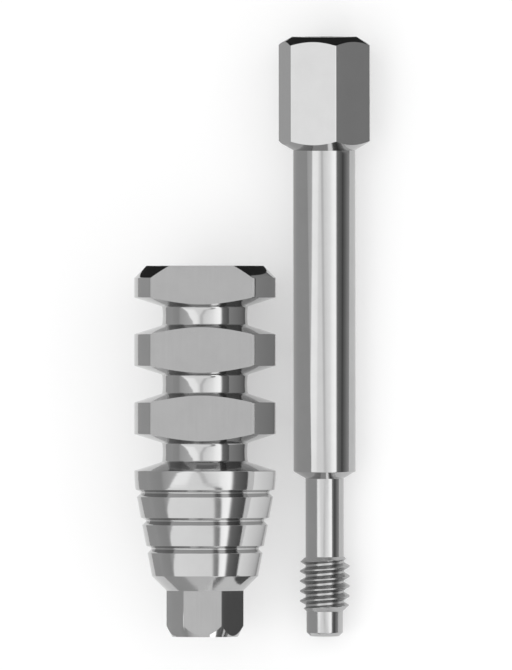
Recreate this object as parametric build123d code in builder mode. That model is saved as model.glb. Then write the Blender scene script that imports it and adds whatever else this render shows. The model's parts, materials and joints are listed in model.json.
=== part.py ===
from build123d import *
import os
from math import atan, cos, degrees, radians, sin, sqrt, tan

# Impression coping of the open-tray kind, with its guide screw taken out and laid beside it.
# Both are turned from bar, so each is drawn as a half section about its own axis and revolved,
# and then the hexagons, the flat and the driver socket are cut. All sizes are in millimetres.

# Coping, heights measured along its axis from the hexagon's end
DISC_DIAMETER = 5.70         # rims of the retention discs, and of the tapered foot's crown
DISC_COUNT = 3
DISC_PITCH = 2.743
DISC_RIM_WIDTH = 1.276
DISC_FACE_ANGLE = 17.5       # slope of the faces between a rim and its neck
TOP_CHAMFER = 0.49
RIM_BREAK = 0.03             # small chamfer that breaks the edges of the rims
NECK_DIAMETER = 3.40         # at the waist of each neck
NECK_FLARE = 0.025           # what a neck's radius gains at its two ends
NECK_FILLET = 0.10
BORE_MOUTH_CHAMFER = 0.12
FOOT_HEIGHT = 6.671          # from the hexagon's end to the upper edge of the foot's crown
CROWN_WIDTH = 0.74
CROWN_DROP = 0.05            # what the crown's radius loses at its lower edge
BASE_DIAMETER = 4.28         # where the taper meets the 45 degree base cone
BASE_CONE_ANGLE = 45.0
GROOVE_COUNT = 3
GROOVE_PITCH = 1.126
GROOVE_WIDTH = 0.30          # at its mouth
GROOVE_DEPTH = 0.18
GROOVE_BOTTOM = 0.05         # width of the narrow land at the bottom, the tool's nose
CROWN_TO_GROOVE = 0.17       # from the crown's lower edge to the middle of the highest groove
FLAT_DISTANCE = 1.98         # from the axis to the flat milled across the discs

# Male hexagon that keys the coping in an implant
HEX_ACROSS_FLATS = 2.70
HEX_HEIGHT = 1.85
HEX_TIP_CHAMFER = 0.22       # lost from the radius at the end
HEX_TIP_LENGTH = 0.44        # height of that chamfer
CORNER_BREAK = 0.01          # turned off the corners of both hexagons

# Guide screw, lengths along its axis from the pilot tip to the head
PILOT_DIAMETER = 1.47
PILOT_LENGTH = 1.00
PILOT_CHAMFER = 0.15
THREAD_DIAMETER = 2.00       # a metric fine M2 by 0.4, kept plain here at its major diameter
THREAD_LENGTH = 2.20
THREAD_CHAMFER_ANGLE = 45.0
SHANK_DIAMETER = 1.54
SHANK_LENGTH = 3.15
SHOULDER_ANGLE = 30.0        # from the plane across the axis, and the same on the seat
SHAFT_DIAMETER = 2.50
SHAFT_LENGTH = 12.91
HEAD_ACROSS_FLATS = 3.30
HEAD_LENGTH = 4.56
HEAD_TOP_DIAMETER = 2.62
HEAD_CHAMFER_ANGLE = 30.0
SOCKET_ACROSS_FLATS = 1.27   # for the common 0.050 inch hex driver
SOCKET_DEPTH = 2.00
SOCKET_MOUTH_CHAMFER = 0.08
DRILL_POINT_ANGLE = 31.0     # from the cross plane, as an ordinary drill leaves it

# Fits between the two
SHAFT_CLEARANCE = 0.10       # on the diameter, between the shaft and the coping's bore
THREAD_CLEARANCE = 0.10      # on the diameter, where the thread passes the hexagon
HEAD_STANDOFF = 0.50         # room between the head and the top disc when the shoulder is seated

# Layout on the table, with the axes along Y and the heads towards +Y
SIDE_GAP = 0.70              # between the disc rims and the screw's shaft
COPING_ROLL = 12.0           # of the flat's normal, from straight up towards +X
SCREW_YAW = 0.43             # of the screw's axis, from +Y towards +X

EXTRA = 0.50                 # how far a cutter reaches past the metal


def slope_rise(run, angle):
    """Height gained over a radial run on a face sloped by an angle from the cross plane."""
    return run * tan(radians(angle))


def section_plane(frame):
    """Plane through a piece's axis, with the radius as local x and the axial height as local y."""
    return Plane(origin=frame.origin, x_dir=frame.x_dir, z_dir=frame.x_dir.cross(frame.z_dir))


def turning_axis(frame):
    """The piece's own axis of revolution."""
    return Axis(origin=frame.origin, direction=frame.z_dir)


# Radii and heights that follow from the sizes above
disc_radius = DISC_DIAMETER / 2
neck_radius = NECK_DIAMETER / 2
neck_end_radius = neck_radius + NECK_FLARE
face_rise = slope_rise(disc_radius - neck_end_radius, DISC_FACE_ANGLE)
coping_length = FOOT_HEIGHT + DISC_COUNT * DISC_PITCH

hex_corner_radius = HEX_ACROSS_FLATS / sqrt(3) - CORNER_BREAK
base_radius = BASE_DIAMETER / 2
base_height = HEX_HEIGHT + slope_rise(base_radius - hex_corner_radius, BASE_CONE_ANGLE)
crown_low_height = FOOT_HEIGHT - CROWN_WIDTH
crown_low_radius = disc_radius - CROWN_DROP
taper_slope = (crown_low_radius - base_radius) / (crown_low_height - base_height)

pilot_radius = PILOT_DIAMETER / 2
thread_radius = THREAD_DIAMETER / 2
shank_radius = SHANK_DIAMETER / 2
shaft_radius = SHAFT_DIAMETER / 2
head_corner_radius = HEAD_ACROSS_FLATS / sqrt(3) - CORNER_BREAK
head_flat_radius = HEAD_ACROSS_FLATS / 2
head_top_radius = HEAD_TOP_DIAMETER / 2
shank_start = PILOT_LENGTH + THREAD_LENGTH
shoulder_start = shank_start + SHANK_LENGTH
shoulder_end = shoulder_start + slope_rise(shaft_radius - shank_radius, SHOULDER_ANGLE)
head_start = shoulder_end + SHAFT_LENGTH
screw_length = head_start + HEAD_LENGTH

bore_radius = shaft_radius + SHAFT_CLEARANCE / 2
through_radius = thread_radius + THREAD_CLEARANCE / 2
seat_top = coping_length + HEAD_STANDOFF - SHAFT_LENGTH
seat_bottom = seat_top - slope_rise(bore_radius - through_radius, SHOULDER_ANGLE)

# The screw lies on the lower end of one flat of its head and on the end of its shaft, which
# tips its axis up towards the head. The lower cone of the head cuts its flat short.
flat_end = head_start + slope_rise(head_flat_radius - shaft_radius, HEAD_CHAMFER_ANGLE)
lie_angle = atan((head_flat_radius - shaft_radius) / (flat_end - shoulder_end))
screw_direction = Vector(0, cos(lie_angle), sin(lie_angle)).rotate(Axis.Z, -SCREW_YAW)
tip_height = shaft_radius * cos(lie_angle) - shoulder_end * sin(lie_angle)
end_lean = sqrt(1 - screw_direction.Y**2)

# The box round both pieces is centred on the origin in X and Y
span_y = screw_length * screw_direction.Y + (head_top_radius + pilot_radius - PILOT_CHAMFER) * end_lean
tip_y = -span_y / 2 + (pilot_radius - PILOT_CHAMFER) * end_lean
mid_shaft = (shoulder_end + head_start) / 2
mid_shaft_height = tip_height + mid_shaft * screw_direction.Z
axis_spacing = sqrt(
    (disc_radius + SIDE_GAP + shaft_radius) ** 2 - (disc_radius - mid_shaft_height) ** 2
)
head_shoulder = screw_length - slope_rise(head_corner_radius - head_top_radius, HEAD_CHAMFER_ANGLE)
head_reach = (head_shoulder - mid_shaft) * screw_direction.X + head_corner_radius
span_x = disc_radius + axis_spacing + head_reach
coping_x = -span_x / 2 + disc_radius
tip_x = coping_x + axis_spacing - mid_shaft * screw_direction.X

flat_normal = Vector(0, 0, 1).rotate(Axis.Y, COPING_ROLL)
coping_frame = Plane(origin=(coping_x, -span_y / 2, disc_radius), x_dir=flat_normal, z_dir=(0, 1, 0))
screw_side = screw_direction.cross(Vector(0, 0, 1))
screw_frame = Plane(
    origin=(tip_x, tip_y, tip_height),
    x_dir=screw_side.cross(screw_direction),
    z_dir=screw_direction,
)

# Edges and middles that repeat up the coping, lowest first
disc_tops = [FOOT_HEIGHT + DISC_PITCH * index for index in range(DISC_COUNT + 1)]
disc_bottoms = [top - DISC_RIM_WIDTH for top in disc_tops[1:]]
highest_groove = crown_low_height - CROWN_TO_GROOVE
groove_heights = [highest_groove - GROOVE_PITCH * index for index in range(GROOVE_COUNT)]
taper_angle = degrees(atan(taper_slope))

with BuildPart() as coping_body:
    # The turned outside: hexagon blank, base cone, taper, crown, then necks and discs
    with BuildSketch(section_plane(coping_frame)) as outside:
        with BuildLine():
            Polyline(
                (0, coping_length),
                (0, 0),
                (hex_corner_radius - HEX_TIP_CHAMFER, 0),
                (hex_corner_radius, HEX_TIP_LENGTH),
                (hex_corner_radius, HEX_HEIGHT),
                (base_radius, base_height),
                (crown_low_radius, crown_low_height),
            )
            TangentArc((disc_radius, FOOT_HEIGHT), (crown_low_radius, crown_low_height), tangent=(0, -1))
            for lower, upper in zip(disc_tops, disc_bottoms):
                Line((disc_radius, lower), (neck_end_radius, lower + face_rise))
                ThreePointArc(
                    (neck_end_radius, lower + face_rise),
                    (neck_radius, (lower + upper) / 2),
                    (neck_end_radius, upper - face_rise),
                )
                Line((neck_end_radius, upper - face_rise), (disc_radius, upper))
            for bottom, top in zip(disc_bottoms, disc_tops[1:-1]):
                Line((disc_radius, bottom), (disc_radius, top))
            Polyline(
                (disc_radius, disc_bottoms[-1]),
                (disc_radius, coping_length - TOP_CHAMFER),
                (disc_radius - TOP_CHAMFER, coping_length),
                (0, coping_length),
            )
        make_face()
        corners = outside.vertices()
        fillet(corners.filter_by_position(Axis.X, neck_end_radius, neck_end_radius), NECK_FILLET)
        corners = outside.vertices()
        chamfer(corners.filter_by_position(Axis.X, disc_radius, disc_radius), RIM_BREAK)

        # Each groove is a V with a narrow bottom, cut square to the taper
        for height in groove_heights:
            surface_radius = base_radius + taper_slope * (height - base_height)
            with Locations(Location((surface_radius, height, 0), (0, 0, -taper_angle))):
                Polygon(
                    (-GROOVE_DEPTH, GROOVE_BOTTOM / 2),
                    (-GROOVE_DEPTH, -GROOVE_BOTTOM / 2),
                    (GROOVE_DEPTH, -GROOVE_WIDTH + GROOVE_BOTTOM / 2),
                    (GROOVE_DEPTH, GROOVE_WIDTH - GROOVE_BOTTOM / 2),
                    align=None,
                    mode=Mode.SUBTRACT,
                )
    revolve(axis=turning_axis(coping_frame))

    # Six flats leave the hexagon standing inside its turned blank
    with BuildSketch(coping_frame):
        Circle(hex_corner_radius + EXTRA)
        RegularPolygon(HEX_ACROSS_FLATS / 2, 6, major_radius=False, rotation=30, mode=Mode.SUBTRACT)
    extrude(amount=HEX_HEIGHT, mode=Mode.SUBTRACT)

    # One flat is milled across every disc and stops short of the foot
    flat_length = coping_length - disc_tops[0] - face_rise
    flat_middle = coping_frame.origin + flat_normal * FLAT_DISTANCE
    flat_middle += coping_frame.z_dir * (coping_length - flat_length / 2)
    with BuildSketch(Plane(origin=flat_middle, x_dir=coping_frame.z_dir, z_dir=flat_normal)):
        Rectangle(flat_length, DISC_DIAMETER)
    extrude(amount=disc_radius, mode=Mode.SUBTRACT)

    # The stepped bore: wide for the shaft, a cone for its shoulder, then a way for the thread
    with BuildSketch(section_plane(coping_frame)):
        with BuildLine():
            Polyline(
                (0, 0),
                (through_radius, 0),
                (through_radius, seat_bottom),
                (bore_radius, seat_top),
                (bore_radius, coping_length - BORE_MOUTH_CHAMFER),
                (bore_radius + BORE_MOUTH_CHAMFER, coping_length),
                (0, coping_length),
                (0, 0),
            )
        make_face()
    revolve(axis=turning_axis(coping_frame), mode=Mode.SUBTRACT)

with BuildPart() as guide_screw:
    # The turned outside from the pilot tip up: thread, shank, shoulder, shaft and head
    thread_run_in = slope_rise(thread_radius - pilot_radius, THREAD_CHAMFER_ANGLE)
    thread_run_out = slope_rise(thread_radius - shank_radius, THREAD_CHAMFER_ANGLE)
    head_under_rise = slope_rise(head_corner_radius - shaft_radius, HEAD_CHAMFER_ANGLE)
    with BuildSketch(section_plane(screw_frame)):
        with BuildLine():
            Polyline(
                (0, 0),
                (pilot_radius - PILOT_CHAMFER, 0),
                (pilot_radius, PILOT_CHAMFER),
                (pilot_radius, PILOT_LENGTH),
                (thread_radius, PILOT_LENGTH + thread_run_in),
                (thread_radius, shank_start - thread_run_out),
                (shank_radius, shank_start),
                (shank_radius, shoulder_start),
                (shaft_radius, shoulder_end),
                (shaft_radius, head_start),
                (head_corner_radius, head_start + head_under_rise),
                (head_corner_radius, head_shoulder),
                (head_top_radius, screw_length),
                (0, screw_length),
                (0, 0),
            )
        make_face()
    revolve(axis=turning_axis(screw_frame))

    # Six flats make the head's hexagon, with one of them facing straight up as it lies
    with BuildSketch(screw_frame.offset(head_start)):
        Circle(head_corner_radius + EXTRA)
        RegularPolygon(head_flat_radius, 6, major_radius=False, rotation=30, mode=Mode.SUBTRACT)
    extrude(amount=HEAD_LENGTH, mode=Mode.SUBTRACT)

    # The driver socket is drilled, countersunk and broached to a hexagon
    socket_radius = SOCKET_ACROSS_FLATS / 2
    mouth_radius = SOCKET_ACROSS_FLATS / sqrt(3) + SOCKET_MOUTH_CHAMFER
    socket_floor = screw_length - SOCKET_DEPTH
    drill_point = slope_rise(socket_radius, DRILL_POINT_ANGLE)
    with BuildSketch(screw_frame.offset(socket_floor)):
        RegularPolygon(socket_radius, 6, major_radius=False, rotation=30)
    extrude(amount=SOCKET_DEPTH, mode=Mode.SUBTRACT)
    with BuildSketch(section_plane(screw_frame)):
        with BuildLine():
            Polyline(
                (0, socket_floor - drill_point),
                (socket_radius, socket_floor),
                (socket_radius, screw_length - mouth_radius + socket_radius),
                (mouth_radius, screw_length),
                (0, screw_length),
                (0, socket_floor - drill_point),
            )
        make_face()
    revolve(axis=turning_axis(screw_frame), mode=Mode.SUBTRACT)

os.makedirs("parts", exist_ok=True)
coping_body.part.label = "coping_body"
guide_screw.part.label = "guide_screw"
export_step(coping_body.part, "parts/coping_body.step")
export_step(guide_screw.part, "parts/guide_screw.step")
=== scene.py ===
"""Impression coping of the open-tray kind and its guide screw, two turned pieces of titanium."""
import sys
import json
import logging
from abc import ABC, abstractmethod
from dataclasses import dataclass
from enum import Enum, IntEnum
from typing import Any, Optional, Sequence

import bmesh
import bpy
import numpy as np
from mathutils import Matrix, Vector


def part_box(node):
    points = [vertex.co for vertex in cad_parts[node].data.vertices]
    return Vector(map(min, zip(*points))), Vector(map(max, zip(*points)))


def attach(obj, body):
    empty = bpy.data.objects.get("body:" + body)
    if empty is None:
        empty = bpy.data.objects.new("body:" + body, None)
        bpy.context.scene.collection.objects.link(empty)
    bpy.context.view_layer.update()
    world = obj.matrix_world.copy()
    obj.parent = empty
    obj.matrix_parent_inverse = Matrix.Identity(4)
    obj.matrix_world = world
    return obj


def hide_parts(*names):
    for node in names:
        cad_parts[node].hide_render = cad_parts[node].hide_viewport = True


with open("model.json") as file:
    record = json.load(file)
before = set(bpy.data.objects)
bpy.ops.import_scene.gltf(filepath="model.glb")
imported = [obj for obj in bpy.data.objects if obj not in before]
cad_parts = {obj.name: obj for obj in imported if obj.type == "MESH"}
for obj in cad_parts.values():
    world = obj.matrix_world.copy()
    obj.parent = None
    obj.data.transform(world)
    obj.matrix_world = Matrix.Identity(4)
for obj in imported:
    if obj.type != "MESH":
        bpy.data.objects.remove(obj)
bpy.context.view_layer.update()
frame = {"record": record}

MM = 0.001
FULL_TURN = 2.0 * np.pi

ARC_POINTS = 5  # along each rounded corner of a profile
CURVE_POINTS = 9  # along the crown and along each neck's waist
ENDLESS_MM = 1000.0  # stands for a wall that cuts nothing
SIDEWAYS_COSINE = 0.05  # under it a flat is too far round the axis to cut anything
ON_WALL_MM = 1e-9  # a radius this close to its wall was cut by it
RUN_GAP_MM = 0.2  # keeps the tool marks of two runs apart
MERGE_M = 2e-7  # points closer than this are one
SLIVER_M = 1e-8  # edges shorter than this are dropped
CRISP_ANGLE = 28.0  # degrees between faces from which their edge stays crisp
RADIUS_DECIMALS = 6  # to which two radii in mm count as one
NO_WIDTH = 1e-6  # degrees, in place of nothing where a panel's sides meet

log = logging.getLogger("coping_scene")


def srgb(code: str) -> tuple[float, float, float, float]:
    """Turns an sRGB hex colour into Blender's linear values.

    Args:
        code: The colour as "#RRGGBB".

    Returns:
        Linear red, green, blue and an alpha of 1.
    """
    values = np.array([int(code[start:start + 2], 16) for start in (1, 3, 5)]) / 255.0
    linear = np.where(values <= 0.04045, values / 12.92, ((values + 0.055) / 1.055) ** 2.4)
    return (float(linear[0]), float(linear[1]), float(linear[2]), 1.0)


def unit(vector: np.ndarray) -> np.ndarray:
    """Returns the vector at a length of one."""
    return vector / np.linalg.norm(vector)


def slope_rise(run: float, angle: float) -> float:
    """Height gained over a radial run on a face sloped by an angle, in degrees, from the cross plane."""
    return run * np.tan(np.radians(angle))


def add_node(
    tree: bpy.types.NodeTree, kind: str, settings: Optional[dict[str, Any]] = None, **links: Any
) -> bpy.types.Node:
    """Adds one node with its settings, values and links.

    Args:
        tree: The node tree it joins.
        kind: The node's Blender type.
        settings: Properties of the node itself, such as its operation.
        **links: Values or output sockets by input name, with "_" for a space. A name such as
            in_1 means the input at that index.

    Returns:
        The new node.
    """
    node = tree.nodes.new(kind)
    for key, value in (settings or {}).items():
        setattr(node, key, value)
    for name, value in links.items():
        socket = node.inputs[int(name[3:])] if name.startswith("in_") else node.inputs[name.replace("_", " ")]
        if isinstance(value, bpy.types.NodeSocket):
            tree.links.new(value, socket)
        else:
            socket.default_value = value
    return node


def empty_material(name: str) -> bpy.types.Material:
    """Makes a material with no nodes yet.

    Args:
        name: Its name.

    Returns:
        The new material.
    """
    material = bpy.data.materials.new(name)
    material.use_nodes = True
    material.node_tree.nodes.clear()
    return material


def cell_corners(grid: np.ndarray) -> np.ndarray:
    """Returns the four corners of each cell of a grid, in turn, in a new last axis."""
    return np.stack([grid[:-1, :-1], grid[:-1, 1:], grid[1:, 1:], grid[1:, :-1]], axis=-1)


def grid_mesh(name: str, points: np.ndarray, turn: Sequence[int], **layers: np.ndarray) -> bpy.types.Mesh:
    """Makes a mesh of four-sided faces from a grid of points.

    Args:
        name: Its name.
        points: Its points in metres, by row and column.
        turn: The order of a face's corners, which sets the way that it faces.
        **layers: What each point also holds, by the name of its attribute.

    Returns:
        The new mesh.
    """
    index = np.arange(points[..., 0].size).reshape(points.shape[:2])
    mesh = bpy.data.meshes.new(name)
    mesh.from_pydata(points.reshape(-1, 3).tolist(), [], cell_corners(index)[..., turn].reshape(-1, 4).tolist())
    for key, values in layers.items():
        kind, field = ("FLOAT_VECTOR", "vector") if values.ndim > 2 else ("FLOAT", "value")
        layer = mesh.attributes.new(key, kind, "POINT")
        layer.data.foreach_set(field, values.reshape(-1).astype(np.float32))
    return mesh


def linked(name: str, data: bpy.types.ID) -> bpy.types.Object:
    """Puts a mesh or a camera into the scene.

    Args:
        name: Name of its object.
        data: The mesh or camera.

    Returns:
        The new object.
    """
    made = bpy.data.objects.new(name, data)
    bpy.context.scene.collection.objects.link(made)
    return made


class Marks(Enum):
    """Which way the cutting tool left its marks."""

    TURNED = "rings round the axis"
    MILLED = "straight lines along the axis"


class Cut(IntEnum):
    """What made a face, which is also the index of its finish on the piece."""

    TURNED = 0
    MILLED = 1
    THREADED = 2


@dataclass(frozen=True)
class TitaniumFinish:
    """Titanium alloy as one machining step leaves it, polished or satin.

    Attributes:
        name: Name of the material.
        marks: Direction of the tool marks.
        colour: Base colour, an sRGB hex value.
        roughness: Middle of the roughness.
        roughness_swing: How far the marks move the roughness up and down.
        shade_swing: How far the base colour wanders, as a share of itself.
        mark_spacing_mm: Distance between tool marks. Real ones are about 0.02 mm apart, which is too fine
            to show, so they are drawn coarser.
        mark_strength: Strength of the bump that the marks give.
        mark_depth_m: Height of that bump.
        mark_run: How quickly milled marks change along their own line, as a share of across it. Turned
            marks curve, and change twice as quickly.
        cloud_scale: Patches of the wandering colour in a millimetre.
        mark_noise: Octaves of the marks' noise, and how much each adds.
        cloud_noise: The same for the wandering colour.
        noise_range: The part of the noise's 0 to 1 that it spans in practice.
    """

    name: str
    marks: Marks
    colour: str
    roughness: float
    roughness_swing: float = 0.02
    shade_swing: float = 0.02
    mark_spacing_mm: float = 0.08
    mark_strength: float = 0.10
    mark_depth_m: float = 0.00001
    mark_run: float = 0.03
    cloud_scale: float = 1.3
    mark_noise: tuple[float, float] = (3.0, 0.6)
    cloud_noise: tuple[float, float] = (4.0, 0.55)
    noise_range: tuple[float, float] = (0.3, 0.7)

    def noise(
        self, tree: bpy.types.NodeTree, vector: bpy.types.NodeSocket, scale: float, octaves: tuple[float, float]
    ) -> bpy.types.NodeSocket:
        """Adds a noise.

        Args:
            tree: The material's node tree.
            vector: Where it is read.
            scale: Its features in a millimetre.
            octaves: How many octaves it has, and how much each adds.

        Returns:
            The socket with its value.
        """
        fine = {"Scale": scale, "Detail": octaves[0], "Roughness": octaves[1]}
        return add_node(tree, "ShaderNodeTexNoise", Vector=vector, **fine).outputs["Fac"]

    def swing(
        self, tree: bpy.types.NodeTree, noise: bpy.types.NodeSocket, middle: float, reach: float
    ) -> bpy.types.NodeSocket:
        """Adds a node that swings a value round its middle by a noise.

        Args:
            tree: The material's node tree.
            noise: The noise's value.
            middle: The value's middle.
            reach: How far it swings up and down.

        Returns:
            The socket with the value.
        """
        low, high = self.noise_range
        ends = {"To_Min": middle - reach, "To_Max": middle + reach}
        return add_node(tree, "ShaderNodeMapRange", Value=noise, From_Min=low, From_Max=high, **ends).outputs["Result"]

    def make(self) -> bpy.types.Material:
        """Builds the material.

        The marks are noise that is stretched. Turned marks change quickly with the length along the
        profile and slowly round the axis. Milled marks change quickly across the axis and slowly along it.

        Returns:
            The finished material, the same one for every piece.
        """
        made = bpy.data.materials.get(self.name)
        if made is not None:
            return made
        material = empty_material(self.name)
        tree = material.node_tree
        place = add_node(tree, "ShaderNodeAttribute", {"attribute_name": "own_mm"})
        if self.marks is Marks.TURNED:
            along = add_node(tree, "ShaderNodeAttribute", {"attribute_name": "profile_mm"})
            parts = add_node(tree, "ShaderNodeSeparateXYZ", Vector=place.outputs["Vector"])
            joined = add_node(
                tree, "ShaderNodeCombineXYZ", X=parts.outputs["X"], Y=parts.outputs["Y"], Z=along.outputs["Fac"]
            )
            stretch = (2.0 * self.mark_run, 2.0 * self.mark_run, 1.0)
            source = joined.outputs["Vector"]
        else:
            stretch = (1.0, 1.0, self.mark_run)
            source = place.outputs["Vector"]
        mapped = add_node(tree, "ShaderNodeMapping", Vector=source, Scale=stretch)
        lines = self.noise(tree, mapped.outputs["Vector"], 1.0 / self.mark_spacing_mm, self.mark_noise)
        cloud = self.noise(tree, place.outputs["Vector"], self.cloud_scale, self.cloud_noise)
        rough = self.swing(tree, lines, self.roughness, self.roughness_swing)
        shade = self.swing(tree, cloud, 1.0, self.shade_swing)
        colour = srgb(self.colour)[:3]
        base = add_node(tree, "ShaderNodeVectorMath", {"operation": "SCALE"}, in_0=colour, Scale=shade)
        depth = {"Strength": self.mark_strength, "Distance": self.mark_depth_m}
        bump = add_node(tree, "ShaderNodeBump", Height=lines, **depth)
        shader = add_node(
            tree,
            "ShaderNodeBsdfPrincipled",
            Base_Color=base.outputs["Vector"],
            Metallic=1.0,
            Roughness=rough,
            Normal=bump.outputs["Normal"],
        )
        add_node(tree, "ShaderNodeOutputMaterial", Surface=shader.outputs["BSDF"])
        return material


class Wall(Enum):
    """What cuts a run of the turned profile, apart from the lathe."""

    NONE = 0
    FLAT = 1
    HEXAGON = 2
    SOCKET = 3


@dataclass(frozen=True)
class Seat:
    """Where a turned piece lies: the start of its axis, its direction, and where angle 0 faces."""

    origin_mm: np.ndarray
    axis: np.ndarray
    facing: np.ndarray

    def side(self) -> np.ndarray:
        """Returns the direction at an angle of 90 degrees."""
        return np.cross(self.axis, self.facing)

    def moved_back(self, length_mm: float) -> "Seat":
        """Returns the same seat, started further back along its axis."""
        return Seat(self.origin_mm - self.axis * length_mm, self.axis, self.facing)

    def place(self, own: np.ndarray) -> np.ndarray:
        """Moves points from the piece's own frame to the row's.

        Args:
            own: Points in mm as (towards the facing, towards the side, height), in the last axis.

        Returns:
            The same points in the row's frame, in metres.
        """
        basis = np.stack([self.facing, self.side(), self.axis])
        return (self.origin_mm + own @ basis) * MM


def hexagon_wall(across_flats: float, angles: np.ndarray) -> np.ndarray:
    """Distance from the axis to a hexagon's wall: half its width over the cosine of the angle from the facet."""
    fold = np.mod(angles + np.pi / 6.0, np.pi / 3.0) - np.pi / 6.0
    return across_flats / 2.0 / np.cos(fold)


def flat_wall(distance: float, angles: np.ndarray) -> np.ndarray:
    """Distance from the axis to one flat at angle 0: its distance over the cosine, or endless behind it."""
    cosine = np.cos(angles)
    return np.where(cosine > SIDEWAYS_COSINE, distance / np.maximum(cosine, SIDEWAYS_COSINE), ENDLESS_MM)


def hexagon_edges(across_flats: float, corner: float) -> np.ndarray:
    """Works out where a hexagon with turned corners has its edges.

    A corner lies halfway between two facets, and the land turned on it reaches to where the facet's
    distance over the cosine is the turned radius.

    Args:
        across_flats: Its width across flats.
        corner: The turned radius of its corners.

    Returns:
        The angles of each land's start, of the corners and of each land's end.
    """
    land = np.pi / 6.0 - np.arccos(across_flats / 2.0 / corner)
    corners = np.pi / 6.0 + np.arange(6) * np.pi / 3.0
    return np.concatenate([corners - land, corners, corners + land])


def rounded(corners: Sequence[tuple[float, float, float]]) -> np.ndarray:
    """Draws a profile with rounded corners.

    Each corner becomes an arc that touches both of its sides. The arc's centre lies on the line that
    halves the corner, and its ends lie a radius over the tangent of half the corner from it.

    Args:
        corners: (radius, height, rounding) of each corner, in order. The two ends aren't rounded.

    Returns:
        The profile's points as rows of (radius, height).
    """
    points = [np.array(corners[0][:2])[None]]
    for before, here, after in zip(corners, corners[1:], corners[2:]):
        corner = np.array(here[:2])
        if here[2] <= 0.0:
            points.append(corner[None])
            continue
        back = unit(np.array(before[:2]) - corner)
        ahead = unit(np.array(after[:2]) - corner)
        half = np.arccos(np.clip(back @ ahead, -1.0, 1.0)) / 2.0
        centre = corner + unit(back + ahead) * here[2] / np.sin(half)
        start = unit(corner + back * here[2] / np.tan(half) - centre)
        end = unit(corner + ahead * here[2] / np.tan(half) - centre)
        sweep = np.pi - 2.0 * half
        share = np.linspace(0.0, 1.0, ARC_POINTS)[:, None]
        arc = (np.sin((1.0 - share) * sweep) * start + np.sin(share * sweep) * end) / np.sin(sweep)
        points.append(centre + arc * here[2])
    points.append(np.array(corners[-1][:2])[None])
    return np.concatenate(points)


# Radius, height, length along the profile and the cut, each by station and angle
Grid = tuple[np.ndarray, np.ndarray, np.ndarray, np.ndarray]


@dataclass(frozen=True)
class Run:
    """A run of stations along the profile, all cut by the same wall.

    Attributes:
        stations: Rows of (radius, height) in mm. Where a wall cuts them, the radius only rises or only falls.
        wall: What cuts them.
    """

    stations: np.ndarray
    wall: Wall = Wall.NONE

    def spread(self, limit: np.ndarray, start_mm: float) -> Grid:
        """Carries the run round the axis.

        A station outside the wall slides back along the profile to where the profile meets the wall, so
        the edge between the two is exact at each angle.

        Args:
            limit: The wall's distance from the axis at each angle.
            start_mm: Length of the profile before this run.

        Returns:
            The run's part of the grid.
        """
        radius, height = self.stations[:, :1], self.stations[:, 1:]
        steps = np.hypot(np.diff(radius[:, 0]), np.diff(height[:, 0]))
        length = start_mm + np.concatenate([[0.0], np.cumsum(steps)])
        shape = (len(radius), len(limit))
        if self.wall is Wall.NONE:
            turned = np.full(shape, Cut.TURNED)
            return tuple(np.broadcast_to(part, shape) for part in (radius, height, length[:, None])) + (turned,)
        cut = np.maximum(radius, limit) if self.wall is Wall.SOCKET else np.minimum(radius, limit)
        order = np.argsort(radius[:, 0])
        known = radius[order, 0]
        made_by = np.where(np.abs(cut - limit) < ON_WALL_MM, Cut.MILLED, Cut.TURNED)
        return cut, np.interp(cut, known, height[order, 0]), np.interp(cut, known, length[order]), made_by


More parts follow.
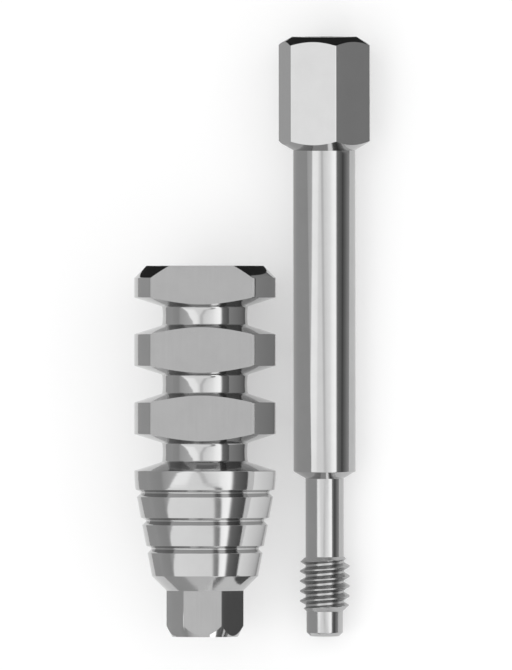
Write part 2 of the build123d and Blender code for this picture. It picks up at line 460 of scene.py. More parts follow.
@dataclass
class TurnedPiece(ABC):
    """A piece turned from bar, as a grid of profile stations and angles.

    Attributes:
        name: Name of the finished piece.
        node: CAD node that it stands for.
        slot: Material slot of the record. Not used.
        seat: Where it lies.
        finishes: A finish for each cut, in the order of Cut.
        columns: Even steps round the axis.
        clear_share: How near an even step comes to a wall's edge before it gives way, as a share of a step.
    """

    name: str
    node: str
    slot: str
    seat: Seat
    finishes: tuple[TitaniumFinish, ...]
    columns: int = 180
    clear_share: float = 0.25

    @abstractmethod
    def corner_angles(self) -> np.ndarray:
        """Returns the angles, in radians, at which a wall has an edge."""

    @abstractmethod
    def limit(self, wall: Wall, angles: np.ndarray) -> np.ndarray:
        """Returns a wall's distance from the axis at each angle."""

    @abstractmethod
    def runs(self) -> list[Run]:
        """Returns the profile in order, outside first."""

    def angles(self) -> np.ndarray:
        """Works out the columns of the grid.

        Even steps give way to the walls' own edges where the two come close.

        Returns:
            Angles from 0 to a full turn, both ends included.
        """
        edges = np.mod(self.corner_angles(), FULL_TURN)
        even = np.linspace(0.0, FULL_TURN, self.columns, endpoint=False)
        away = np.abs(np.angle(np.exp(1j * (even[:, None] - edges[None]))))
        even = even[(away.min(axis=1) > self.clear_share * FULL_TURN / self.columns) | (even == 0.0)]
        inner = np.unique(np.concatenate([even, edges]))
        return np.append(inner, FULL_TURN)

    def rows(self, angles: np.ndarray) -> Grid:
        """Stacks the runs into the piece's grid.

        Args:
            angles: The grid's columns.

        Returns:
            The grid.
        """
        stacks: list[tuple[np.ndarray, ...]] = []
        length = 0.0
        for run in self.runs():
            stack = run.spread(self.limit(run.wall, angles), length)
            stacks.append(stack)
            length = float(stack[2].max()) + RUN_GAP_MM
        radius, height, along, made_by = (np.concatenate(parts) for parts in zip(*stacks))
        return radius, height, along, made_by

    def build(self) -> bpy.types.Object:
        """Makes the mesh, dresses it and puts it in the CAD node's place.

        A point is the axis at its height, plus its radius towards its angle. Doubles at the poles, at the
        seam and where stations slid together are merged, which closes the surface. A face has a cut's finish
        where all its corners have it, and a milled face is shaded flat, as it is flat.

        Returns:
            The finished object.
        """
        angles = self.angles()
        radius, height, along, made_by = self.rows(angles)
        own = np.stack([radius * np.cos(angles), radius * np.sin(angles), height], axis=-1)
        around = cell_corners(made_by)
        faces = np.where((around == around[..., :1]).all(axis=-1), around[..., 0], Cut.TURNED)
        mesh = grid_mesh(self.name, self.seat.place(own), (0, 1, 2, 3), own_mm=own, profile_mm=along)
        mesh.polygons.foreach_set("material_index", faces.reshape(-1).astype(np.int32))
        self.weld(mesh)
        for finish in self.finishes:
            mesh.materials.append(finish.make())
        piece = linked(self.name, mesh)
        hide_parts(self.node)
        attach(piece, "root")
        return piece

    def weld(self, mesh: bpy.types.Mesh) -> None:
        """Merges doubles, drops faces of no area and marks the edges that stay crisp.

        Args:
            mesh: The piece's mesh.
        """
        work = bmesh.new()
        work.from_mesh(mesh)
        bmesh.ops.remove_doubles(work, verts=work.verts, dist=MERGE_M)
        bmesh.ops.dissolve_degenerate(work, edges=work.edges, dist=SLIVER_M)
        work.to_mesh(mesh)
        work.free()
        cuts = np.empty(len(mesh.polygons), np.int32)
        mesh.polygons.foreach_get("material_index", cuts)
        mesh.shade_smooth()
        mesh.set_sharp_from_angle(angle=np.radians(CRISP_ANGLE))
        mesh.polygons.foreach_set("use_smooth", cuts != Cut.MILLED)
        mesh.update()

    def report(self, piece: bpy.types.Object) -> None:
        """Logs the piece's size beside its CAD node's.

        Args:
            piece: The finished object.
        """
        points = np.empty(len(piece.data.vertices) * 3)
        piece.data.vertices.foreach_get("co", points)
        points = points.reshape(-1, 3) / MM
        low, high = (np.array(corner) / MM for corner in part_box(self.node))
        piece.data.calc_loop_triangles()
        log.info("%s: %d triangles", self.name, len(piece.data.loop_triangles))
        log.info("  low %s against CAD %s mm", points.min(0).round(4), low.round(4))
        log.info("  high %s against CAD %s mm", points.max(0).round(4), high.round(4))


@dataclass
class CopingBody(TurnedPiece):
    """The coping: male hexagon, grooved taper, crown, necks and discs, and its stepped bore. Sizes in mm."""

    disc_diameter: float = 5.70
    disc_count: int = 3
    disc_pitch: float = 2.743
    disc_rim_width: float = 1.276
    disc_face_angle: float = 17.5
    top_chamfer: float = 0.49
    rim_rounding: float = 0.04
    neck_diameter: float = 3.40
    neck_flare: float = 0.025
    neck_fillet: float = 0.10
    foot_height: float = 6.671
    crown_width: float = 0.74
    crown_drop: float = 0.05
    base_diameter: float = 4.28
    base_cone_angle: float = 45.0
    groove_count: int = 3
    groove_pitch: float = 1.126
    groove_width: float = 0.30
    groove_depth: float = 0.18
    groove_bottom: float = 0.05
    groove_lip: float = 0.012
    groove_bottom_rounding: float = 0.01
    crown_to_groove: float = 0.17
    base_rounding: float = 0.02
    flat_distance: float = 1.98
    hex_across_flats: float = 2.70
    hex_height: float = 1.85
    hex_tip_chamfer: float = 0.22
    hex_tip_length: float = 0.44
    corner_break: float = 0.01
    bore_radius: float = 1.30
    through_radius: float = 1.05
    seat_top: float = 2.49
    seat_angle: float = 30.0
    bore_mouth_chamfer: float = 0.12

    def __post_init__(self) -> None:
        """Works out the sizes that follow from the fields."""
        self.rim = self.disc_diameter / 2.0
        self.neck_end = self.neck_diameter / 2.0 + self.neck_flare
        self.face_rise = slope_rise(self.rim - self.neck_end, self.disc_face_angle)
        self.length = self.foot_height + self.disc_count * self.disc_pitch
        self.corner = self.hex_across_flats / np.sqrt(3.0) - self.corner_break

    def corner_angles(self) -> np.ndarray:
        """Works out where the walls have edges.

        The flat meets each station of the discs at the angle whose cosine is the flat's distance over the
        station's radius.

        Returns:
            The angles of those meetings, and of the hexagon's edges.
        """
        radii = np.concatenate([run.stations[:, 0] for run in self.runs() if run.wall is Wall.FLAT])
        radii = np.unique(radii[radii > self.flat_distance].round(RADIUS_DECIMALS))
        meets = np.arccos(self.flat_distance / radii)
        return np.concatenate([meets, -meets, hexagon_edges(self.hex_across_flats, self.corner)])

    def limit(self, wall: Wall, angles: np.ndarray) -> np.ndarray:
        """Returns a wall's distance from the axis at each angle."""
        flat = wall is Wall.FLAT
        return flat_wall(self.flat_distance, angles) if flat else hexagon_wall(self.hex_across_flats, angles)

    def crown(self) -> list[tuple[float, float, float]]:
        """Draws the crowned band as an arc that ends upright at the rim.

        The arc's radius is half of (drop squared plus width squared) over the drop, and the band's radius
        at a height is the rim's, less that radius, plus the root of its square less the height below the
        rim squared.

        Returns:
            The band's corners, lowest first.
        """
        arc = (self.crown_drop**2 + self.crown_width**2) / (2.0 * self.crown_drop)
        below = np.linspace(self.crown_width, 0.0, CURVE_POINTS)
        radii = self.rim - arc + np.sqrt(arc**2 - below**2)
        corners = [(float(r), float(self.foot_height - b), 0.0) for r, b in zip(radii, below)]
        corners[-1] = (self.rim, self.foot_height, self.rim_rounding)
        return corners

    def grooves(self, base_height: float) -> list[tuple[float, float, float]]:
        """Draws the V grooves, cut square to the taper.

        Args:
            base_height: Height at which the taper starts.

        Returns:
            The grooves' corners, lowest first.
        """
        base = self.base_diameter / 2.0
        top = self.foot_height - self.crown_width
        slope = (self.rim - self.crown_drop - base) / (top - base_height)
        along = unit(np.array([slope, 1.0]))
        outward = np.array([along[1], -along[0]])
        mouth = (0.0, self.groove_width / 2.0, self.groove_lip)
        bottom = (self.groove_depth, self.groove_bottom / 2.0, self.groove_bottom_rounding)
        corners: list[tuple[float, float, float]] = []
        for number in reversed(range(self.groove_count)):
            height = top - self.crown_to_groove - self.groove_pitch * number
            middle = np.array([base + slope * (height - base_height), height])
            for side, (depth, half, rounding) in zip((-1.0, -1.0, 1.0, 1.0), (mouth, bottom, bottom, mouth)):
                point = middle - outward * depth + along * side * half
                corners.append((float(point[0]), float(point[1]), rounding))
        return corners

    def neck(self, lower: float, upper: float) -> list[tuple[float, float, float]]:
        """Draws one neck between the rims of two discs, slightly waisted.

        Args:
            lower: Height of the upper edge of the rim below it.
            upper: Height of the lower edge of the rim above it.

        Returns:
            The neck's corners, lowest first.
        """
        start, end = lower + self.face_rise, upper - self.face_rise
        share = np.linspace(0.0, 1.0, CURVE_POINTS)
        radii = self.neck_end - self.neck_flare * np.sin(share * np.pi)
        corners = [(float(r), float(start + (end - start) * s), 0.0) for r, s in zip(radii, share)]
        corners[0] = (self.neck_end, start, self.neck_fillet)
        corners[-1] = (self.neck_end, end, self.neck_fillet)
        # The points beside the ends make room for the fillets
        return [corners[0]] + corners[2:-2] + [corners[-1]]

    def runs(self) -> list[Run]:
        """Draws the profile: up the outside from the hexagon's end, then down the bore.

        Returns:
            The runs of stations in order.
        """
        base = self.base_diameter / 2.0
        base_height = self.hex_height + slope_rise(base - self.corner, self.base_cone_angle)
        tops = [self.foot_height + self.disc_pitch * number for number in range(self.disc_count + 1)]
        bottoms = [top - self.disc_rim_width for top in tops[1:]]
        seat_bottom = self.seat_top - slope_rise(self.bore_radius - self.through_radius, self.seat_angle)

        chamfered = self.corner - self.hex_tip_chamfer
        tip = np.array([(self.through_radius, 0.0), (chamfered, 0.0), (self.corner, self.hex_tip_length)])
        runs = [Run(tip, Wall.HEXAGON), Run(np.array([(self.corner, self.hex_height)]), Wall.HEXAGON)]
        corners = [(self.corner, self.hex_height, 0.0), (base, base_height, self.base_rounding)]
        corners += self.grooves(base_height) + self.crown()
        corners += self.neck(tops[0], bottoms[0]) + [(self.rim, bottoms[0], 0.0)]
        foot = rounded(corners)[:-1]
        runs.append(Run(foot[:-1]))
        flank_start = foot[-1]
        for number, (bottom, top) in enumerate(zip(bottoms, tops[1:])):
            edge = [(flank_start[0], flank_start[1], 0.0), (self.rim, bottom, self.rim_rounding), (self.rim, top, 0.0)]
            runs.append(Run(rounded(edge)[:-1], Wall.FLAT))
            if number < self.disc_count - 1:
                corners = [(self.rim, bottom, 0.0), (self.rim, top, self.rim_rounding)]
                corners += self.neck(top, bottoms[number + 1]) + [(self.rim, bottoms[number + 1], 0.0)]
                chain = rounded(corners)[1:-1]
                # The rim's rounding and the face after it fall to the neck's fillet, and the flat cuts both
                falling = ARC_POINTS + 1
                runs += [Run(chain[:falling], Wall.FLAT), Run(chain[falling:-1])]
                flank_start = chain[-1]
        mouth = self.bore_radius + self.bore_mouth_chamfer
        end = rounded(
            [
                (self.rim, bottoms[-1], 0.0),
                (self.rim, self.length - self.top_chamfer, self.rim_rounding),
                (self.rim - self.top_chamfer, self.length, 0.0),
                (mouth, self.length, 0.0),
            ]
        )[1:]
        runs.append(Run(end, Wall.FLAT))
        bore = [
            (mouth, self.length),
            (self.bore_radius, self.length - self.bore_mouth_chamfer),
            (self.bore_radius, self.seat_top),
            (self.through_radius, seat_bottom),
            (self.through_radius, 0.0),
        ]
        runs.append(Run(np.array(bore)))
        return runs


@dataclass
class GuideScrew(TurnedPiece):
    """The guide screw: pilot, M2 by 0.4 thread, shank, shaft and hexagonal head with its socket. Sizes in mm.

    Its seat is given at its top, where the driver goes in.
    """

    pilot_diameter: float = 1.47
    pilot_length: float = 1.00
    pilot_chamfer: float = 0.15
    tip_rounding: float = 0.02
    pilot_rounding: float = 0.04
    thread_diameter: float = 2.00
    thread_length: float = 2.20
    thread_pitch: float = 0.40
    thread_crest: float = 0.05
    thread_flank_angle: float = 30.0
    crest_height: float = 2.695
    flank_steps: int = 7
    shank_diameter: float = 1.54
    shank_length: float = 3.15
    shoulder_angle: float = 30.0
    shoulder_rounding: float = 0.03
    shaft_diameter: float = 2.50
    shaft_length: float = 12.91
    head_across_flats: float = 3.30
    head_length: float = 4.56
    head_top_diameter: float = 2.62
    head_chamfer_angle: float = 30.0
    corner_break: float = 0.01
    socket_across_flats: float = 1.27
    socket_depth: float = 2.00
    socket_mouth_chamfer: float = 0.08
    drill_point_angle: float = 31.0
    thread_marks_start: float = 40.0

    def __post_init__(self) -> None:
        """Works out the sizes that follow from the fields."""
        self.pilot = self.pilot_diameter / 2.0
        self.crest = self.thread_diameter / 2.0
        self.shank = self.shank_diameter / 2.0
        self.shaft = self.shaft_diameter / 2.0
        self.corner = self.head_across_flats / np.sqrt(3.0) - self.corner_break
        self.thread_end = self.pilot_length + self.thread_length
        self.shoulder_start = self.thread_end + self.shank_length
        self.shoulder_end = self.shoulder_start + slope_rise(self.shaft - self.shank, self.shoulder_angle)
        self.head_start = self.shoulder_end + self.shaft_length
        self.length = self.head_start + self.head_length
        self.seat = self.seat.moved_back(self.length)

    def corner_angles(self) -> np.ndarray:
        """Returns the edges of the head's turned corners, which the socket's corners share."""
        return hexagon_edges(self.head_across_flats, self.corner)

    def limit(self, wall: Wall, angles: np.ndarray) -> np.ndarray:
        """Returns a wall's distance from the axis at each angle."""
        return hexagon_wall(self.socket_across_flats if wall is Wall.SOCKET else self.head_across_flats, angles)

    def thread(self, angles: np.ndarray) -> tuple[np.ndarray, np.ndarray]:
        """Works out the right-handed thread.

        The grid is sheared, so that its rows run along the helix: a row's height is the crest's height at
        angle 0, plus the pitch times its number over the rows in a turn, plus the pitch times the angle over
        a full turn. The radius falls from the crest at the flank's slope down to the root, and is never more
        than a 45 degree cone at each end allows. Rows past the ends stop there.

        Args:
            angles: The grid's columns.

        Returns:
            Radius and height by row and angle.
        """
        low, high = self.pilot_length, self.thread_end
        slope = np.tan(np.radians(self.thread_flank_angle))
        edge = self.thread_crest / 2.0
        # Rows fall on the edges of the crest and of the root, and share the flanks between them evenly
        half = np.linspace(edge, edge + (self.crest - self.shank) * slope, self.flank_steps + 1)
        offsets = np.concatenate([[0.0], half, [self.thread_pitch / 2.0], self.thread_pitch - half[::-1]])
        first = np.floor((low - self.crest_height) / self.thread_pitch - 1.0)
        last = np.ceil((high - self.crest_height) / self.thread_pitch)
        turns = np.arange(first, last + 1.0) * self.thread_pitch
        offset = (turns[:, None] + offsets[None]).reshape(-1, 1)
        height = self.crest_height + offset + self.thread_pitch * angles[None] / FULL_TURN
        away = np.abs(np.mod(offset + self.thread_pitch / 2.0, self.thread_pitch) - self.thread_pitch / 2.0)
        helix = np.clip(self.crest - (away - edge) / slope, self.shank, self.crest)
        height = np.clip(height, low, high)
        cone = np.minimum(self.pilot + (height - low), self.shank + (high - height))
        return np.minimum(helix, cone), height

    def runs(self) -> list[Run]:
        """Draws the profile: up the outside from the pilot's tip, then down the driver socket.

        Returns:
            The runs of stations in order.
        """
        under = slope_rise(self.corner - self.shaft, self.head_chamfer_angle)
        top = self.head_top_diameter / 2.0
        over = slope_rise(self.corner - top, self.head_chamfer_angle)
        socket = self.socket_across_flats / 2.0
        mouth = self.socket_across_flats / np.sqrt(3.0) + self.socket_mouth_chamfer
        floor = self.length - self.socket_depth
        point = floor - slope_rise(socket, self.drill_point_angle)
        pilot = [
            (0.0, 0.0, 0.0),
            (self.pilot - self.pilot_chamfer, 0.0, self.tip_rounding),
            (self.pilot, self.pilot_chamfer, self.pilot_rounding),
            (self.pilot, self.pilot_length, 0.0),
        ]
        shank = [
            (self.shank, self.thread_end, 0.0),
            (self.shank, self.shoulder_start, self.shoulder_rounding),
            (self.shaft, self.shoulder_end, self.shoulder_rounding),
            (self.shaft, self.head_start, 0.0),
        ]
        straight = (
            (Wall.HEXAGON, [(self.shaft, self.head_start), (self.corner, self.head_start + under)]),
            (Wall.HEXAGON, [(self.corner, self.length - over), (top, self.length), (mouth, self.length)]),
            (Wall.SOCKET, [(mouth, self.length), (socket, self.length - mouth + socket)]),
            (Wall.SOCKET, [(socket, floor)]),
            (Wall.NONE, [(socket, floor), (0.0, point)]),
        )
        runs = [Run(rounded(pilot)), Run(rounded(shank)[:-1])]
        return runs + [Run(np.array(stations), wall) for wall, stations in straight]

    def rows(self, angles: np.ndarray) -> Grid:
        """Puts the thread's rows between the pilot and the shank.

        Args:
            angles: The grid's columns.

        Returns:
            The grid.
        """
        plain = super().rows(angles)
        before = len(self.runs()[0].stations)
        radius, height = self.thread(angles)
        thread = (radius, height, height + self.thread_marks_start, np.full(radius.shape, Cut.THREADED))
        return tuple(np.concatenate([rows[:before], own, rows[before:]]) for rows, own in zip(plain, thread))


# The side of a panel as (latitude, longitude) points, or the foot of a flag as (x, y) points
Side = tuple[tuple[float, float], ...]


def side_at(side: Side, latitude: np.ndarray) -> np.ndarray:
    """Longitude of a panel's side at each latitude: straight between its (latitude, longitude) points."""
    points = np.array(side)
    return np.interp(latitude, points[:, 0], points[:, 1])


def smooth_step(value: np.ndarray, width: float) -> np.ndarray:
    """Rises from 0 to 1 over a width round zero, as three times the square less twice the cube."""
    share = np.clip(value / width + 0.5, 0.0, 1.0)
    return share * share * (3.0 - 2.0 * share)


@dataclass(frozen=True)
class Panel:
    """A soft box or a dark cloth on the studio's dome.

    The dome's longitude runs round the object's long axis, from the camera's side towards the right of
    the picture, and its latitude runs towards the top of the picture. All angles are in degrees.

    Attributes:
        name: What it is.
        left: Its left side, as (latitude, longitude) points.
        right: Its right side.
        latitude: Its lower and upper end.
        radiance: Its light at its left and right side.
        blur: Width of its blurred left and right side.
        end_blur: Width of its blurred lower and upper end.
    """

    name: str
    left: Side
    right: Side
    latitude: tuple[float, float]
    radiance: tuple[float, float]
    blur: tuple[float, float] = (3.0, 3.0)
    end_blur: float = 3.0

    def cover(self, light: np.ndarray, longitude: np.ndarray, latitude: np.ndarray) -> np.ndarray:
        """Lays the panel over the light under it.

        It covers by the product of four smooth steps, one for each of its sides, and its own light runs
        evenly from one side to the other.

        Args:
            light: The light so far.
            longitude: Longitude of each place.
            latitude: Latitude of each place.

        Returns:
            The light with the panel in place.
        """
        left, right = side_at(self.left, latitude), side_at(self.right, latitude)
        low, high = self.latitude
        share = smooth_step(longitude - left, self.blur[0]) * smooth_step(right - longitude, self.blur[1])
        share *= smooth_step(latitude - low, self.end_blur) * smooth_step(high - latitude, self.end_blur)
        across = np.clip((longitude - left) / np.maximum(right - left, NO_WIDTH), 0.0, 1.0)
        own = self.radiance[0] + (self.radiance[1] - self.radiance[0]) * across
        return light + (own - light) * share


@dataclass(frozen=True)
class Flag:
    """A standing cloth or card of a studio, which shapes what polished metal mirrors.

    It is seen only in reflections: the camera and diffuse light don't see it, and it casts no shadow.

    Attributes:
        name: What it is.
        foot_mm: Its foot on the table, as the (x, y) of its ends and of the folds between them.
        height_mm: Its height.
        radiance: Its light at its foot and at its top.
    """

    name: str
    foot_mm: Side
    height_mm: float
    radiance: tuple[float, float]

    def grid(self) -> tuple[np.ndarray, np.ndarray]:
        """Stands the flag up: its foot, and the same line at its height.

        Returns:
            Its points in mm and their light, by height and place along the foot.
        """
        foot = np.array(self.foot_mm)
        points = np.stack([np.insert(foot, 2, height, axis=1) for height in (0.0, self.height_mm)])
        return points, np.repeat(np.array(self.radiance)[:, None], len(foot), axis=1)


@dataclass(frozen=True)
class Collar:
    """A black paper ring close behind the end of a piece, for its chamfer to mirror, and seen as a flag is.

    Attributes:
        name: What it is.
        centre_mm: Its centre.
        radii_mm: Its inner and outer radius.
        turn: Where it starts and ends, in degrees from straight up towards +X.
        radiance: Its light.
        steps: Points round it.
    """

    name: str
    centre_mm: tuple[float, float, float]
    radii_mm: tuple[float, float]
    turn: tuple[float, float]
    radiance: float = 0.03
    steps: int = 33

    def grid(self) -> tuple[np.ndarray, np.ndarray]:
        """Draws the ring: its centre plus a radius times the sine of the turn in x and its cosine in z.

        Returns:
            Its points in mm and their light, by radius and turn.
        """
        turn = np.radians(np.linspace(*self.turn, self.steps))
        ray = np.stack([np.sin(turn), np.zeros(self.steps), np.cos(turn)], axis=-1)
        points = np.array(self.centre_mm) + np.array(self.radii_mm)[:, None, None] * ray
        return points, np.full(points.shape[:2], self.radiance)


def beside(side: Side, shift: float) -> Side:
    """Returns a side shifted by some degrees of longitude."""
    return tuple((latitude, longitude + shift) for latitude, longitude in side)


def upright(longitude: float) -> Side:
    """Returns a straight side at one longitude."""
    return ((0.0, longitude),)


# The slanted gap where the left and the right soft box meet, the left side of the left one, and the two
# sides of a panel that goes all round
SEAM: Side = ((-29.0, 22.0), (-16.5, 20.0), (-12.0, 1.0), (0.0, -10.0))
KEY_START: Side = ((-20.0, -72.0), (-4.0, -46.0), (0.0, -44.0), (10.0, -33.0))
ALL_ROUND = (upright(-200.0), upright(200.0))

DOME_PANELS = (
    Panel("bottom fill", *ALL_ROUND, (-95.0, -48.0), (0.94, 0.94)),
    Panel("left cloth", upright(-106.0), upright(-74.0), (-50.0, 90.0), (0.56, 0.49), (6.0, 8.0)),
    Panel("left fill", upright(-74.0), upright(-30.0), (-50.0, 90.0), (0.62, 0.94), (8.0, 6.0)),
    Panel("left key", KEY_START, SEAM, (-34.0, 32.0), (1.48, 1.36), (4.0, 3.0)),
    Panel("left strip", KEY_START, ((-12.0, -30.0), (0.0, -19.0)), (-13.0, 32.0), (1.78, 1.71), (4.0, 9.0)),
    Panel("right key", SEAM, upright(45.0), (-34.0, 32.0), (1.20, 1.97), (3.0, 8.0)),
    Panel("right strip", upright(24.0), upright(43.0), (-40.0, 32.0), (1.78, 2.06), (8.0, 7.0)),
    Panel("low strip", upright(22.0), upright(50.0), (-78.0, -40.0), (2.81, 2.81), (8.0, 7.0)),
    Panel("seam", beside(SEAM, -4.0), beside(SEAM, 4.0), (-34.0, 32.0), (0.98, 0.98), (4.0, 4.0)),
    Panel("seam foot", beside(SEAM, -4.0), beside(SEAM, 8.0), (-34.0, -15.0), (0.56, 0.38), (8.0, 6.0)),
    Panel("right cloth", upright(47.0), upright(86.0), (-60.0, 60.0), (0.30, 0.04), (9.0, 4.0)),
    Panel("top fill", *ALL_ROUND, (48.0, 95.0), (0.75, 0.75)),
)

# A low flag stands on each side. Between the pieces stands a thin folded card, slanted to clear both, so
# that neither mirrors the other: plain towards the screw, and towards the coping dark beside its discs, pale
# beside its foot and black beside its hexagon. A black collar stands behind each end that has a chamfer.
FLAGS = (
    Flag("left", ((-10.5, -60.0), (-10.5, 60.0)), 5.3, (0.53, 0.58)),
    Flag("shaft_right", ((7.0, -60.0), (7.0, 7.3)), 2.6, (0.54, 0.08)),
    Flag("head_right", ((7.0, 7.3), (7.0, 60.0)), 2.8, (0.39, 0.39)),
    Flag("screw_side", ((1.21, -12.8), (1.36, -5.2), (0.58, 13.6)), 4.08, (0.56, 0.53)),
    Flag("disc_side", ((1.35, -5.2), (0.57, 13.6)), 4.08, (0.11, 0.43)),
    Flag("foot_side", ((1.25, -10.1), (1.35, -5.2)), 4.08, (0.33, 1.45)),
    Flag("hexagon_side", ((1.20, -12.8), (1.25, -10.1)), 2.6, (0.14, 0.14)),
    Collar("coping_end_left", (-1.858, 2.95, 2.85), (2.38, 3.20), (-110.0, 15.0)),
    Collar("coping_end_right", (-1.858, 2.95, 2.85), (2.38, 2.84), (15.0, 130.0)),
    Collar("screw_end", (2.816, 12.14, 1.785), (1.20, 3.00), (-90.0, 130.0)),
)


@dataclass
class Studio:
    """Pale floor, light dome, flags, world and camera.

    Attributes:
        view_angle: The camera's lean from straight above towards +X, in degrees.
        along_mm: Middle of the picture, towards its right.
        up_mm: Middle of the picture, towards its top.
        height_mm: Middle of the picture, towards the camera.
        frame_height_mm: Height of the picture at that point.
        lens_mm: A long lens, which keeps the picture near parallel projection.
        sensor_mm: Long side of the camera's sensor.
        clip_m: The nearest and the farthest that the camera sees.
        dome_radius_mm: Radius of the light dome.
        dome_steps: Points of its mesh, round it and up it.
        level_steps: Points at which its level is worked out, round it and up it.
        dome_end: Latitude at which it ends, up and down.
        background: Light of the dome where no panel is.
        floor_colour: Colour of the floor, an sRGB hex value.
        floor_white: What the open floor comes to, a little over white so that its shadow ends near the pieces.
        floor_reach_m: How far it reaches each way.
    """

    view_angle: float = 16.0
    along_mm: float = -0.523
    up_mm: float = 0.048
    height_mm: float = 2.0
    frame_height_mm: float = 26.93
    lens_mm: float = 1000.0
    sensor_mm: float = 36.0
    clip_m: tuple[float, float] = (0.05, 20.0)
    dome_radius_mm: float = 260.0
    dome_steps: tuple[int, int] = (241, 121)
    level_steps: tuple[int, int] = (721, 361)
    dome_end: float = 89.0
    background: float = 0.47
    floor_colour: str = "#C8C8C8"
    floor_white: float = 1.05
    floor_reach_m: float = 3.0

    def radiance(self, longitude: np.ndarray, latitude: np.ndarray) -> np.ndarray:
        """Works out the dome's light: a plain level with each panel laid over those before it.

        Args:
            longitude: Degrees from the camera's side towards the right.
            latitude: Degrees towards the top of the picture.

        Returns:
            The radiance at each place.
        """
        light = np.full(longitude.shape, self.background)
        for panel in DOME_PANELS:
            light = panel.cover(light, longitude, latitude)
        return light

    def towards_camera(self) -> np.ndarray:
        """Returns the direction from the object to the camera."""
        lean = np.radians(self.view_angle)
        return np.array([np.sin(lean), 0.0, np.cos(lean)])

    def picture_right(self) -> np.ndarray:
        """Returns the direction that is right in the picture."""
        lean = np.radians(self.view_angle)
        return np.array([np.cos(lean), 0.0, -np.sin(lean)])

    def dome_grid(self, columns: int, rows: int) -> tuple[np.ndarray, np.ndarray, np.ndarray]:
        """Lays a grid over the dome.

        A direction is the camera's times the cosines of latitude and longitude, plus the picture's right
        times the cosine of latitude and the sine of longitude, plus +Y times the sine of latitude.

        Args:
            columns: Steps of longitude.
            rows: Steps of latitude.

        Returns:
            Longitude and latitude in degrees, and the direction.
        """
        heights = np.linspace(-self.dome_end, self.dome_end, rows)
        longitude, latitude = np.meshgrid(np.linspace(-180.0, 180.0, columns), heights)
        east, north = np.radians(longitude), np.radians(latitude)
        direction = (
            (np.cos(north) * np.cos(east))[..., None] * self.towards_camera()
            + (np.cos(north) * np.sin(east))[..., None] * self.picture_right()
            + np.sin(north)[..., None] * np.array([0.0, 1.0, 0.0])
        )
        return longitude, latitude, direction

    def level(self) -> float:
        """Works out the level at which the dome lights the floor, where 1 renders a colour as it is written.

        It is the mean of the dome's light, weighted by the area of each place and by the cosine of its angle
        from straight up.

        Returns:
            The level.
        """
        longitude, latitude, direction = self.dome_grid(*self.level_steps)
        weight = np.clip(direction[..., 2], 0.0, None) * np.cos(np.radians(latitude))
        return float((self.radiance(longitude, latitude) * weight).sum() / weight.sum())

    def build_dome(self) -> bpy.types.Object:
        """Makes the dome, a sphere of longitude and latitude that shines inwards.

        Returns:
            The dome.
        """
        longitude, latitude, direction = self.dome_grid(*self.dome_steps)
        return self.add_light("light_dome", direction * self.dome_radius_mm * MM, self.radiance(longitude, latitude))

    def build_flag(self, flag: Flag | Collar) -> bpy.types.Object:
        """Makes one flag or collar, which only metal mirrors.

        Args:
            flag: The flag or collar.

        Returns:
            Its object.
        """
        points, radiance = flag.grid()
        made = self.add_light("flag_" + flag.name, points * MM, radiance)
        made.visible_diffuse = False
        made.visible_shadow = False
        return made

    def add_light(self, name: str, points: np.ndarray, radiance: np.ndarray) -> bpy.types.Object:
        """Adds a grid that shines and that the camera doesn't see.

        Args:
            name: Its name.
            points: Its points in metres, by row and column.
            radiance: Its light at each point.

        Returns:
            The new object.
        """
        mesh = grid_mesh(name, points, (0, 3, 2, 1), radiance=radiance)
        mesh.materials.append(self.glowing_cloth())
        made = linked(name, mesh)
        made.visible_camera = False
        return made

    def glowing_cloth(self) -> bpy.types.Material:
        """Makes the cloth of the dome and the flags once, which shines by the mesh's own radiance.

        Returns:
            The material.
        """
        material = bpy.data.materials.get("lit_cloth")
        if material is None:
            material = empty_material("lit_cloth")
            tree = material.node_tree
            level = add_node(tree, "ShaderNodeAttribute", {"attribute_name": "radiance"})
            glow = add_node(tree, "ShaderNodeEmission", Strength=level.outputs["Fac"])
            add_node(tree, "ShaderNodeOutputMaterial", Surface=glow.outputs["Emission"])
        return material

    def background_ray(self, tree: bpy.types.NodeTree) -> bpy.types.NodeSocket:
        """Adds nodes that give 1 where the background itself is seen, straight on or in metal or glass.

        Args:
            tree: The node tree of the floor or of the world.

        Returns:
            The socket: Is Camera Ray plus Is Glossy Ray plus Is Transmission Ray.
        """
        ray = add_node(tree, "ShaderNodeLightPath").outputs
        add = {"operation": "ADD"}
        mirrored = add_node(tree, "ShaderNodeMath", add, in_0=ray["Is Glossy Ray"], in_1=ray["Is Transmission Ray"])
        add["use_clamp"] = True
        seen = add_node(tree, "ShaderNodeMath", add, in_0=ray["Is Camera Ray"], in_1=mirrored.outputs[0])
        return seen.outputs[0]

    def build_floor(self, own_glow: float) -> bpy.types.Object:
        """Makes the pale floor, which keeps the pieces' soft shadow and is white elsewhere.

        The board's own colour gives most of the white under the dome, and its glow the rest. The glow is the
        same to the camera and to the metal.

        Args:
            own_glow: What the floor adds where it is seen.

        Returns:
            The floor.
        """
        reach = self.floor_reach_m
        corners = [(-reach, -reach, 0.0), (reach, -reach, 0.0), (reach, reach, 0.0), (-reach, reach, 0.0)]
        mesh = bpy.data.meshes.new("floor")
        mesh.from_pydata(corners, [], [(0, 1, 2, 3)])
        material = empty_material("pale_matt_board")
        tree = material.node_tree
        seen = self.background_ray(tree)
        glow = add_node(tree, "ShaderNodeMath", {"operation": "MULTIPLY"}, in_0=seen, in_1=own_glow)
        board = add_node(tree, "ShaderNodeBsdfDiffuse", Color=srgb(self.floor_colour))
        light = add_node(tree, "ShaderNodeEmission", Strength=glow.outputs[0])
        both = add_node(tree, "ShaderNodeAddShader", in_0=board.outputs[0], in_1=light.outputs[0])
        add_node(tree, "ShaderNodeOutputMaterial", Surface=both.outputs[0])
        mesh.materials.append(material)
        floor = linked("floor", mesh)
        return floor

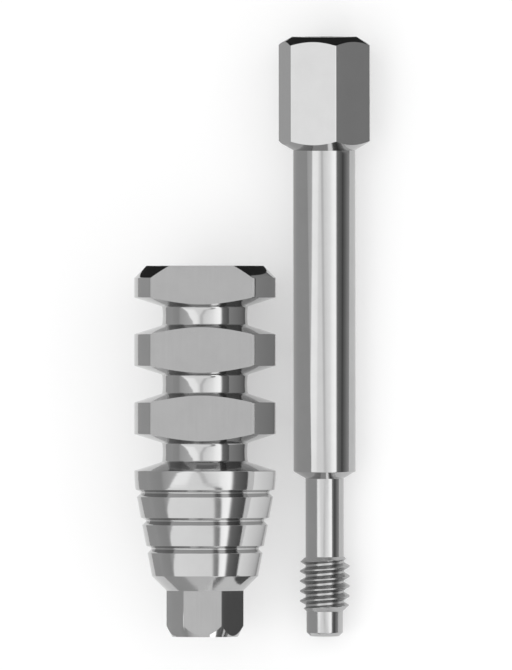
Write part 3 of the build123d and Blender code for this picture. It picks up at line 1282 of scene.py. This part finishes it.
    def build_world(self, own_level: float) -> bpy.types.World:
        """Makes the world, white where it is seen and at the dome's level as a light.

        Args:
            own_level: The dome's level.

        Returns:
            The world.
        """
        world = bpy.data.worlds.new("studio_world")
        world.use_nodes = True
        tree = world.node_tree
        tree.nodes.clear()
        level = add_node(tree, "ShaderNodeMapRange", Value=self.background_ray(tree), To_Min=own_level, To_Max=1.0)
        glow = add_node(tree, "ShaderNodeBackground", Color=(1.0, 1.0, 1.0, 1.0), Strength=level.outputs["Result"])
        add_node(tree, "ShaderNodeOutputWorld", Surface=glow.outputs["Background"])
        bpy.context.scene.world = world
        return world

    def build_camera(self) -> bpy.types.Object:
        """Makes the camera, above the table and leaning to the right as in the photograph.

        Returns:
            The camera.
        """
        data = bpy.data.cameras.new("camera")
        data.sensor_width = self.sensor_mm
        data.lens = self.lens_mm
        distance = self.lens_mm / self.sensor_mm * self.frame_height_mm
        back, right = self.towards_camera(), self.picture_right()
        target = right * self.along_mm + np.array([0.0, self.up_mm, 0.0]) + back * self.height_mm
        data.clip_start, data.clip_end = self.clip_m
        camera = linked("camera", data)
        place = (target + back * distance) * MM
        turn = np.stack([right, [0.0, 1.0, 0.0], back], axis=1)
        camera.matrix_world = Matrix.LocRotScale(Vector(place), Matrix(turn.tolist()).to_quaternion(), None)
        bpy.context.scene.camera = camera
        return camera

    def build(self) -> None:
        """Sets up the whole studio. The floor's own glow is its white less its lit colour."""
        bpy.context.scene.view_settings.view_transform = "Standard"
        level = self.level()
        glow = max(0.0, self.floor_white - srgb(self.floor_colour)[0] * level)
        self.build_floor(glow)
        self.build_dome()
        for flag in FLAGS:
            self.build_flag(flag)
        log.info("light level %.3f, floor glow %.3f", level, glow)
        self.build_world(level)
        self.build_camera()


# Turned and polished titanium alloy: mirror-like, with rings that hardly show.
TURNED_TITANIUM = TitaniumFinish("polished_turned_titanium", Marks.TURNED, colour="#B0B0B0", roughness=0.09)

# Milled titanium alloy, stoned smooth: a satin that shows one even tone across a flat.
MILLED_TITANIUM = TitaniumFinish("satin_milled_titanium", Marks.MILLED, colour="#ABABAB", roughness=0.14)

# The same alloy where a die cut the thread: its flanks aren't polished, which makes them softer and duller.
THREADED_TITANIUM = TitaniumFinish(
    "cut_thread_titanium", Marks.TURNED, colour="#ABABAB", roughness=0.27, roughness_swing=0.03, shade_swing=0.03
)

COPING_ROLL = 12.0  # degrees of the flat's normal, from straight up towards +X


def mount(name: str) -> tuple[np.ndarray, np.ndarray]:
    """Reads one mount of the record.

    Args:
        name: The mount's name.

    Returns:
        Its place in mm and its axis.
    """
    found = next(row for row in frame["record"]["mounts"] if row["name"] == name)
    return np.array(found["pos_m"]) / MM, unit(np.array(found["axis"]))


def coping_seat() -> Seat:
    """Seats the coping by its hexagon, with its flat rolled from straight up towards +X.

    Returns:
        Its seat.
    """
    origin, outward = mount("implant_hexagon")
    roll = np.radians(COPING_ROLL)
    return Seat(origin, -outward, np.array([np.sin(roll), 0.0, np.cos(roll)]))


def screw_seat() -> Seat:
    """Seats the screw by its top, where its driver goes in, with one facet of its head straight up.

    Returns:
        Its seat.
    """
    top, axis = mount("driver_socket")
    up = np.array([0.0, 0.0, 1.0])
    return Seat(top, axis, unit(up - axis * (axis @ up)))


def main() -> None:
    """Builds both pieces and the studio, and reports each."""
    logging.basicConfig(level=logging.INFO, format="%(name)s: %(message)s", stream=sys.stdout, force=True)
    cuts = (TURNED_TITANIUM, MILLED_TITANIUM)
    coping = CopingBody("coping", "coping_body", "coping_titanium", coping_seat(), cuts)
    cuts += (THREADED_TITANIUM,)
    screw = GuideScrew("guide_screw_threaded", "guide_screw", "screw_titanium", screw_seat(), cuts)
    for piece in (coping, screw):
        piece.report(piece.build())
    Studio().build()


if __name__ == "__main__":
    main()
